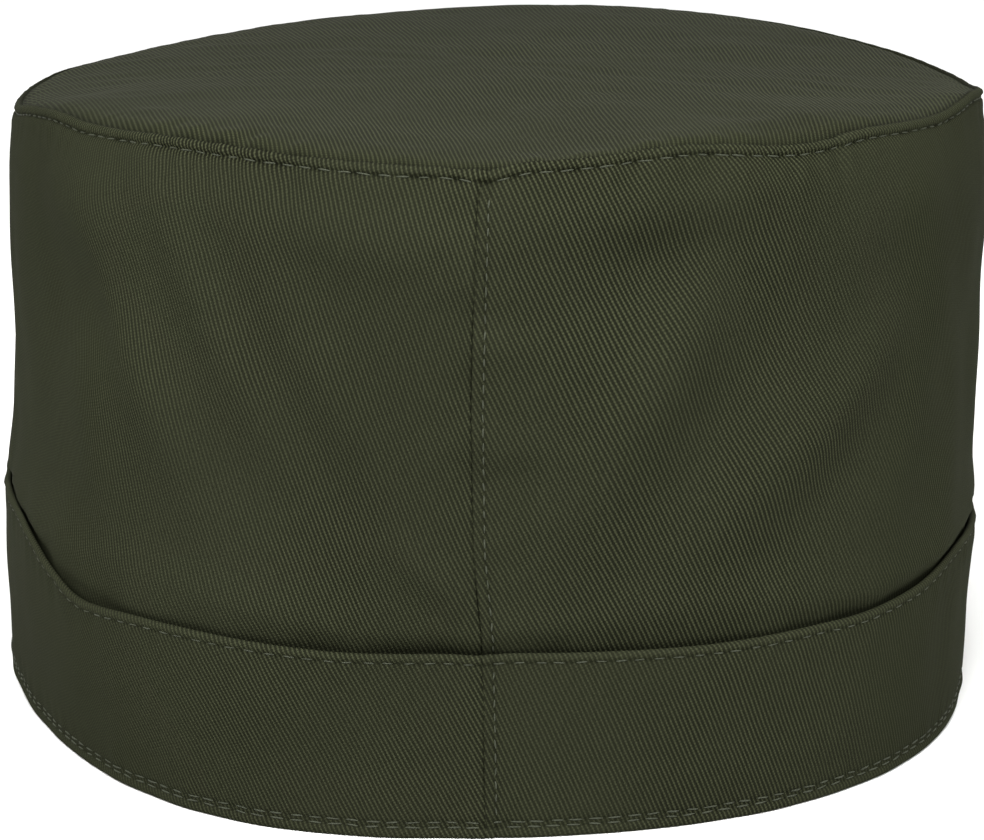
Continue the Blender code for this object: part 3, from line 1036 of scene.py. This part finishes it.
@dataclass
class Band:
    """The band: a strip folded double, hemmed at the foot and topstitched under its free fold."""

    wall: PackedWall
    seam: BackSeam = field(default_factory=lambda: BackSeam(lap_rise=0.14 * MM, under_drop=0.30 * MM))
    cloth: float = 0.42 * MM
    column_spacing: float = 0.95 * MM
    middle_spacing: float = 1.7 * MM
    hem: tuple[tuple[float, float], ...] = (
        (6.0, 1.10), (2.6, 1.15), (1.1, 1.20), (0.30, 1.05), (0.03, 0.70), (0.02, 0.30),
        (0.22, 0.02), (0.65, -0.04))
    above_hem: tuple[float, ...] = (1.3, 1.65, 1.9, 2.15, 2.5, 2.75, 3.0, 3.4, 4.0, 4.8, 5.8)
    below_fold: tuple[float, ...] = (6.0, 5.0, 4.2, 3.6, 3.1, 2.7, 2.4, 2.1, 1.8, 1.5, 1.15, 0.8)
    fold: tuple[tuple[float, float], ...] = (
        (0.42, 0.03), (0.14, 0.18), (0.0, 0.5), (0.12, 0.80), (0.45, 0.98), (1.2, 1.02),
        (3.0, 1.02), (12.0, 1.02))
    stitch_drop: float = 1.5
    flat_height: float = 0.053
    hem_stitches: tuple[float, float] = (1.9, 2.75)
    grain: GrainLine = GrainLine(62.5, 67.0)

    def __post_init__(self) -> None:
        """Lay out the strip's columns."""
        self.ruler = Ruler(self.wall, 0.6)
        self.along = self.seam.columns(self.ruler.length, self.column_spacing)

    def build(self, material: bpy.types.Material, thread: bpy.types.Material) -> None:
        """Make the band and its stitches.

        Args:
            material: what the band is made of.
            thread: what the stitches are made of.
        """
        length = self.ruler.length
        turn_flat = self.ruler.turn(self.along)
        low = self.wall.edge(turn_flat, False)
        high = self.wall.edge(turn_flat, True) + lift_at(BAND_LIFTS, turn_flat)
        heights, insets = [], []
        for rise, inset in self.hem:
            heights.append(low + rise * MM)
            insets.append(inset)
        bottom, top = low + self.above_hem[-1] * MM, high - self.below_fold[0] * MM
        count = int((top - bottom).max() / self.middle_spacing)
        heights += [low + rise * MM for rise in self.above_hem]
        heights += [bottom + (top - bottom) * k / count for k in range(1, count)]
        heights += [high - drop * MM for drop in self.below_fold]
        first_fold = len(heights)
        insets += [0.0] * (first_fold - len(self.hem))
        for drop, inset in self.fold:
            heights.append(high - drop * MM)
            insets.append(inset)
        heights = np.array(heights)
        insets = np.broadcast_to(np.array(insets)[:, None] * MM, heights.shape)
        face = np.zeros(heights.shape, dtype=bool)
        face[len(self.hem):first_fold] = True

        along = np.broadcast_to(self.along, heights.shape)
        turn = self.ruler.turn(along + self.seam.shift(along, heights, length))
        lift = lift_at(BAND_LIFTS, turn_flat)
        read = np.clip(heights - lift * ease((heights - low) / (high - low)), low, high)
        drop, rise = high - heights, heights - low
        signed = np.where(along > length / 2, along - length, along)
        outer = np.where(insets < 0.7 * MM, 1.0, 0.0)

        relief = 0.22 * MM * bump(drop - 0.9 * MM, 0.9 * MM) * outer
        relief -= 0.20 * MM * bump(drop - self.stitch_drop * MM, 0.36 * MM) * face
        relief += 0.30 * MM * bump(rise - 0.9 * MM, 0.8 * MM) * outer
        relief += 0.85 * MM * bump(signed, 65 * MM) * (1 - ease(rise / (15 * MM))) * outer
        sides = bump(np.abs(signed) - 125 * MM, 45 * MM)
        relief -= 0.9 * MM * sides * (1 - ease((rise - 5 * MM) / (22 * MM)))
        for stitch in self.hem_stitches:
            relief -= 0.16 * MM * bump(rise - stitch * MM, 0.30 * MM) * face
        relief += 0.10 * MM * ripples(along, 0 * along, 6.0 * MM, 31) * bump(drop - 3.4 * MM, 2.2 * MM) * face
        relief += 0.08 * MM * ripples(along, 0 * along, 5.0 * MM, 32) * bump(rise - 4.0 * MM, 2.2 * MM) * face
        relief += 0.10 * MM * ripples(along, heights, 15 * MM, 33, 1.2) * outer
        relief += self.seam.rise(along, length)
        reach = self.wall.distance(turn, read) - insets + relief
        points = np.stack([reach * np.sin(turn), reach * np.cos(turn), heights], axis=2)

        # Painted shade in the stitch groove under the fold, along the back seam and at the hem's stitch
        # lines.
        groove = 0.6 * bump(drop - self.stitch_drop * MM, 0.30 * MM) * face + self.seam.groove(along, length)
        for stitch in self.hem_stitches:
            groove = groove + 0.45 * bump(rise - stitch * MM, 0.26 * MM) * face
        wear = 0.5 * bump(drop - 0.5 * MM, 0.8 * MM) * outer + 0.4 * bump(rise - 0.8 * MM, 0.8 * MM) * outer
        steps = np.linalg.norm(np.diff(points, axis=0), axis=2)
        up = np.concatenate([np.zeros((1, len(self.along))), np.cumsum(steps, axis=0)])
        chart = self.grain.chart(self.along, up, TwillFinish.ridge_angle)
        nap = 0.22 + 0.24 * ease((np.abs(signed) - 40 * MM) / (30 * MM))
        band = cloth_grid("band_twill", points, chart, Marks(groove, wear, nap))
        thicken(band, self.cloth)
        finish_piece(band, material, "band_twill", "band")

        outward = face_normals(points)

        def row(index: int) -> tuple[Array, Array]:
            """Points and outward directions of one row of the band."""
            return points[index, CLEAR_OF_LAP], outward[index, CLEAR_OF_LAP]

        fold_row = first_fold - len(self.below_fold) + self.below_fold.index(self.stitch_drop)
        hem_rows = [len(self.hem) + self.above_hem.index(stitch) for stitch in self.hem_stitches]
        edge = Stitching(seed=41, lift=-0.05 * MM).sew("band_edge_stitches", [row(fold_row)])
        hem = Stitching(seed=42).sew("hem_stitches", [row(index) for index in hem_rows])
        column = self.seam.stitch_column(self.along)
        span = slice(hem_rows[1] + 2, fold_row - 1)
        up_seam = [(points[span, column], outward[span, column])]
        back = back_stitching(43).sew("band_seam_stitches", up_seam)
        for stitches in (edge, hem, back):
            finish_piece(stitches, thread, "band_twill")


@dataclass
class CrownTop:
    """The crown top: an oval panel sewn inside the wall's upper edge."""

    side: CrownSide
    cloth: float = 0.8 * MM
    columns: int = 640
    insets: tuple[float, ...] = (
        1.2, 1.6, 1.9, 2.2, 2.6, 3.1, 3.7, 4.4, 5.2, 6.2, 7.4, 8.8, 10.5, 12.5, 15, 18, 21.5, 25.5,
        30, 35, 40, 45, 50, 55, 60, 65, 70, 75, 80, 84, 87.5)
    usual_reach: float = 94 * MM
    seam_reach: float = 0.095
    sure_inset: float = 2.2 * MM
    oval_share: float = 0.79
    start: float = 0.2
    grain_fan: float = 1.6
    grain_pole: float = 0.084
    ridge_scale: float = 1.15

    def build(self, material: bpy.types.Material) -> None:
        """Make the panel.

        Args:
            material: what the panel is made of.
        """
        tree = packed_tree("crown_top")
        turn = np.linspace(0.0, 2 * math.pi, self.columns + 1)
        high = self.side.edge_height(turn)
        reach = self.side.wall.distance(turn, self.side.wall.edge(turn, True)) - self.side.edge_lean
        edge_x, edge_y = reach * np.sin(turn), reach * np.cos(turn)
        low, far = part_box("crown_top")
        middle = ((low[0] + far[0]) / 2, (low[1] + far[1]) / 2)
        shares = [1 - inset * MM / self.usual_reach for inset in self.insets] + [0.0]
        x = np.array([middle[0] + (edge_x - middle[0]) * share for share in shares])
        y = np.array([middle[1] + (edge_y - middle[1]) * share for share in shares])
        lift = high - self.side.wall.edge(turn, True)
        z = np.empty(x.shape)
        safe = 1 - self.sure_inset / self.usual_reach
        for r, share in enumerate(shares):
            for c in range(len(turn)):
                pull = min(share, safe) / max(share, 1e-9) if share > 0 else 1.0
                px = middle[0] + (x[r, c] - middle[0]) * pull
                py = middle[1] + (y[r, c] - middle[1]) * pull
                hit = tree.ray_cast(Vector((px, py, self.start)), Vector((0.0, 0.0, -1.0)), self.start)
                z[r, c] = hit[0].z if hit[0] is not None else np.nan
        for r in range(len(shares) - 2, -1, -1):
            z[r] = np.where(np.isfinite(z[r]), z[r], z[r + 1])
        z = smooth_rows(z[:, :-1].T, 6.0, around=True).T
        z = np.concatenate([z, z[:, :1]], axis=1)
        for _ in range(2):
            z[3:-1] = (z[2:-2] + 2 * z[3:-1] + z[4:]) / 4
        inset = (1 - np.array(shares))[:, None] * self.usual_reach
        z = z + lift * np.exp(-np.maximum(inset - 2 * MM, 0) / (22 * MM))
        run = turn * self.seam_reach
        wrap = 2 * math.pi * self.seam_reach
        near_back = towards_back(np.minimum(run, wrap - run))
        edge_dip = 0.5 + 0.8 * near_back
        z -= edge_dip * MM * np.exp(-(inset - 1.2 * MM) / (0.75 * MM))
        fade = ease(run / (12 * MM)) * ease((wrap - run) / (12 * MM))
        back = 0.25 + 0.75 * near_back
        pucker = back * (ripples(run, 0 * run, 7.5 * MM, 51) + 0.5 * ripples(run, 0 * run, 3.6 * MM, 52))
        z += 0.20 * MM * pucker * fade * bump(inset - 3.6 * MM, 3.0 * MM)
        z += 0.11 * MM * ripples(x, y, 26 * MM, 53) * ease((inset - 3 * MM) / (10 * MM))
        z += 0.05 * MM * ripples(x, y, 12 * MM, 54) * ease((inset - 3 * MM) / (8 * MM))
        z[-1] = z[-2].mean()
        points = np.stack([x, y, z], axis=2)

        # Painted shade in the seam crease round the panel's edge.
        groove = np.broadcast_to(0.8 * bump(inset - 1.5 * MM, 0.7 * MM), z.shape)
        wear = np.broadcast_to(0.3 * bump(inset - 4.0 * MM, 1.8 * MM), z.shape)
        across = ((x + self.grain_pole) * np.exp(self.grain_fan * y) - self.grain_pole) / self.ridge_scale
        ridge = math.radians(TwillFinish.ridge_angle)
        chart = np.stack([across * math.sin(ridge) - y * math.cos(ridge),
                          -across * math.cos(ridge) - y * math.sin(ridge)], axis=2)
        nap = np.full(z.shape, 0.25)
        top = cloth_grid("crown_top_twill", points, chart, Marks(groove, wear, nap))
        close_doubles(top, 0.01 * MM)
        thicken(top, self.cloth)
        finish_piece(top, material, "crown_twill", "crown_top")


@dataclass
class Peak:
    """The stiff peak: two plies of twill over a stiffener, with rows of topstitching."""

    side: CrownSide
    columns: int = 221
    top_rows: int = 74
    under_rows: int = 30
    rim_rows: int = 7
    root_inset: float = 1.9 * MM
    rim_margin: float = 0.25 * MM
    stitch_lines: tuple[float, ...] = (3.2, 8.0, 14.0, 21.0, 29.0, 38.0)
    end_taper: float = 5.0 * MM
    start: float = 0.2

    def outline(self) -> Array:
        """The peak's free edge in plan, from the wearer's right to left."""
        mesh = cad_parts["peak"].data
        flat = np.array([(v.co.x, v.co.y) for v in mesh.vertices])
        hull = flat[convex_hull_2d([Vector(place) for place in flat])]
        middle_y = hull[:, 1].max()
        order = np.argsort(np.arctan2(hull[:, 0], middle_y + 1 * MM - hull[:, 1]))
        return hull[order]

    def build(self, material: bpy.types.Material, thread: bpy.types.Material) -> None:
        """Make the peak's cover and its stitches.

        Args:
            material: what the cover is made of.
            thread: what the stitches are made of.
        """
        tree = packed_tree("peak")
        line = self.outline()
        run = distances(line)
        places = np.linspace(0.0, run[-1], self.columns)
        line = np.stack([np.interp(places, run, line[:, i]) for i in range(2)], axis=1)
        line = smooth_rows(line, 3.0, around=False)
        pull = 1 - self.rim_margin / np.linalg.norm(line, axis=1)
        rim = line * pull[:, None]
        low = math.atan2(rim[0, 0], rim[0, 1]) % (2 * math.pi)
        high = math.atan2(rim[-1, 0], rim[-1, 1]) % (2 * math.pi)
        turn = np.linspace(low, high, self.columns)
        reach = self.side.wall.distance(turn, self.side.wall.edge(turn, False) + 2 * MM) - self.root_inset
        root = np.stack([reach * np.sin(turn), reach * np.cos(turn)], axis=1)

        def height(px: float, py: float, upper: bool) -> float:
            """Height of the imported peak's upper or under face at a place, or nan.

            Args:
                px: the place in plan.
                py: the place in plan.
                upper: which of the two faces.

            Returns:
                The height in metres.
            """
            way = Vector((0.0, 0.0, -1.0 if upper else 1.0))
            hit = tree.ray_cast(Vector((px, py, self.start if upper else -self.start)), way, self.start * 2)
            return hit[0].z if hit[0] is not None else math.nan

        def grid(rows: int) -> Array:
            """Plan places from root to rim."""
            share = np.linspace(0.0, 1.0, rows)[:, None, None]
            return root[None] * (1 - share) + rim[None] * share

        faces = []
        for rows, upper in ((self.top_rows, True), (self.under_rows, False)):
            plan = grid(rows)
            z = np.array([[height(px, py, upper) for px, py in row] for row in plan])
            for row in z:
                met = np.isfinite(row)
                if met.sum() > 2:
                    row[~met] = np.interp(np.flatnonzero(~met), np.flatnonzero(met), row[met])
            z = np.where(np.isfinite(z), z, np.nanmean(z))
            z = smooth_rows(z, rows / 18, around=False)
            z = smooth_rows(z.T, 5.0, around=False).T
            faces.append(np.concatenate([plan, z[..., None]], axis=2))
        top, under = faces
        half = (top[-1, :, 2] - under[-1, :, 2]) / 2
        taper = ease(np.minimum(places, places[-1] - places) / self.end_taper)
        tangent = np.gradient(rim, axis=0)
        away = np.stack([tangent[:, 1], -tangent[:, 0]], axis=1)
        away /= np.linalg.norm(away, axis=1, keepdims=True)
        away *= np.sign((away * rim).sum(axis=1, keepdims=True))

        gap = np.array([[np.min(np.hypot(*(rim - p[:2]).T)) for p in row] for row in top])
        relief = -0.9 * MM * (1 - np.clip(gap / (1.6 * MM), 0, 1)) ** 2
        lines = np.zeros(gap.shape)
        for distance in self.stitch_lines:
            lines += bump(gap - distance * MM, 0.55 * MM)
        relief -= 0.28 * MM * lines
        relief += 0.10 * MM * ripples(top[..., 0], top[..., 1], 14 * MM, 61)
        top[..., 2] += relief
        under_gap = np.array([[np.min(np.hypot(*(rim - p[:2]).T)) for p in row] for row in under])
        under[..., 2] += 0.9 * MM * (1 - np.clip(under_gap / (1.6 * MM), 0, 1)) ** 2
        middle = (top[-1, :, 2] + under[-1, :, 2]) / 2
        rows, grooves = list(top), list(lines)
        for k in range(1, self.rim_rows):
            swing = math.pi * k / self.rim_rows
            out = 0.55 * MM * math.sin(swing)
            z = middle + (top[-1, :, 2] - middle) * math.cos(swing)
            rows.append(np.stack([rim[:, 0] + away[:, 0] * out, rim[:, 1] + away[:, 1] * out, z], axis=1))
            grooves.append(np.zeros(len(rim)))
        rows += list(under[::-1])
        grooves += [np.zeros(len(rim))] * len(under)
        rows.append(rows[0].copy())
        grooves.append(grooves[0])
        points = np.array(rows)
        centre = (top.mean(axis=0)[:, 2] + under.mean(axis=0)[:, 2]) / 2
        points[..., 2] = centre + (points[..., 2] - centre) * taper
        chart = -points[..., :2]
        # Painted shade in the topstitching grooves.
        groove = 0.6 * np.clip(np.array(grooves), 0, 1)
        wear = np.zeros(groove.shape)
        wear[self.top_rows - 3:self.top_rows + self.rim_rows] = 0.5
        nap = np.full(groove.shape, 0.2)
        marks = Marks(groove[:, ::-1], wear[:, ::-1], nap)
        cover = cloth_grid("peak_cover_twill", points[:, ::-1], chart[:, ::-1], marks)
        close_doubles(cover, 0.02 * MM)
        bpy.ops.object.mode_set(mode="EDIT")
        bpy.ops.mesh.select_all(action="SELECT")
        bpy.ops.mesh.normals_make_consistent(inside=False)
        bpy.ops.object.mode_set(mode="OBJECT")
        bpy.ops.object.shade_smooth()
        finish_piece(cover, material, "peak_twill", "peak")
        stitches = self.stitches(rim, away, cover, thread)

    def stitches(self, rim: Array, away: Array, cover: bpy.types.Object,
                 thread: bpy.types.Material) -> bpy.types.Object:
        """Topstitching in rows inside the peak's free edge.

        Args:
            rim: the free edge in plan.
            away: outward directions along it.
            cover: the peak's cover.
            thread: what the stitches are made of.

        Returns:
            The stitches as one piece.
        """
        mesh = cover.data
        tree = BVHTree.FromPolygons([v.co for v in mesh.vertices], [p.vertices for p in mesh.polygons])
        rows = []
        for distance in self.stitch_lines:
            spots, normals = [], []
            for place, out in zip(rim, away):
                px, py = place - out * distance * MM
                nearest = np.min(np.hypot(rim[:, 0] - px, rim[:, 1] - py))
                turn = math.atan2(px, py) % (2 * math.pi)
                foot = float(self.side.wall.distance(np.array([turn]), np.array([12 * MM]))[0])
                if nearest < distance * MM * 0.985 or math.hypot(px, py) < foot + 1.5 * MM:
                    continue
                hit = tree.ray_cast(Vector((px, py, self.start)), Vector((0.0, 0.0, -1.0)), self.start)
                if hit[0] is not None:
                    spots.append(hit[0])
                    normals.append(hit[1])
            if len(spots) > 5:
                rows.append((np.array(spots), np.array(normals)))
        stitches = Stitching(seed=71).sew("peak_stitches", rows)
        finish_piece(stitches, thread, "peak_twill")
        return stitches


@dataclass
class Studio:
    """Plain white floor, soft light, and a camera at the photograph's angle.

    lamps: for each, its name, place and size in metres, and its watts.
    """

    eye: tuple[float, float, float] = (0.0, 0.60, 0.2021)
    aim: tuple[float, float, float] = (-0.0010, 0.0, 0.0421)
    lens: float = 120.31
    sensor: float = 36.0
    floor_size: float = 6.0
    ambient: float = 0.255
    lamps: tuple[tuple[str, tuple[float, float, float], float, float], ...] = (
        ("overhead", (0.0, -2.30, 1.90), 4.5, 106.0),
        ("key", (0.03, 0.42, 0.55), 0.25, 5.9),
        ("left side", (0.90, 0.35, 0.70), 0.8, 7.0),
        ("right side", (-0.90, 0.35, 0.70), 0.8, 7.5),
    )

    def build(self) -> None:
        """Set up the camera, the floor and the lights."""
        camera = bpy.data.objects.new("camera", bpy.data.cameras.new("camera"))
        bpy.context.scene.collection.objects.link(camera)
        camera.location = self.eye
        camera.rotation_euler = (Vector(self.aim) - Vector(self.eye)).to_track_quat("-Z", "Y").to_euler()
        camera.data.lens = self.lens
        camera.data.sensor_width = self.sensor
        bpy.context.scene.camera = camera
        clear_selection()
        bpy.ops.mesh.primitive_plane_add(size=self.floor_size, location=(0.0, 0.0, 0.0))
        floor = bpy.context.object
        floor.name = "floor"
        floor.data.materials.append(FloorFinish().material())
        for lamp in self.lamps:
            self.light(*lamp)
        world = bpy.data.worlds.new("white room")
        bpy.context.scene.world = world
        world.use_nodes = True
        world.node_tree.nodes["Background"].inputs[0].default_value = (1.0, 1.0, 1.0, 1.0)
        world.node_tree.nodes["Background"].inputs[1].default_value = self.ambient
        bpy.context.scene.view_settings.view_transform = "Standard"

    def light(self, name: str, place: tuple[float, float, float], size: float, watts: float) -> None:
        """Add one square soft light that looks at the cap.

        Args:
            name: the light's name.
            place: where it hangs, in metres.
            size: length of its side.
            watts: its power.
        """
        lamp = bpy.data.lights.new(name, "AREA")
        lamp.size = size
        lamp.energy = watts
        holder = bpy.data.objects.new(name, lamp)
        bpy.context.scene.collection.objects.link(holder)
        holder.location = place
        holder.rotation_euler = (Vector((0.0, 0.0, 0.05)) - Vector(place)).to_track_quat("-Z", "Y").to_euler()


def main() -> None:
    """Build the cap and the studio."""
    logging.basicConfig(level=logging.INFO, format="%(message)s")
    Studio().build()
    crown_twill = TwillFinish("olive_drab_cotton_twill_crown").material()
    band_twill = TwillFinish("olive_drab_cotton_twill_band").material()
    peak_twill = TwillFinish("olive_drab_cotton_twill_peak").material()
    thread = ThreadFinish("spun_polyester_thread_olive").material()
    side_wall, band_wall = PackedWall("crown_side", 80 * MM), PackedWall("band", 28 * MM)
    side = CrownSide(side_wall, band_wall)
    side.build(crown_twill, thread)
    # The crown top is the same cloth as the wall; its darker colours are painted shade, so that the top,
    # which faces the lamps more squarely, looks no brighter than the wall.
    top_twill_painted_darker = TwillFinish("olive_drab_cotton_twill_crown_top_painted_darker", ridge="#383b29",
                            valley="#14150e", plain="#232519", shine=0.025)
    CrownTop(side).build(top_twill_painted_darker.material())
    Band(band_wall).build(band_twill, thread)
    Peak(side).build(peak_twill, thread)


if __name__ == "__main__":
    main()
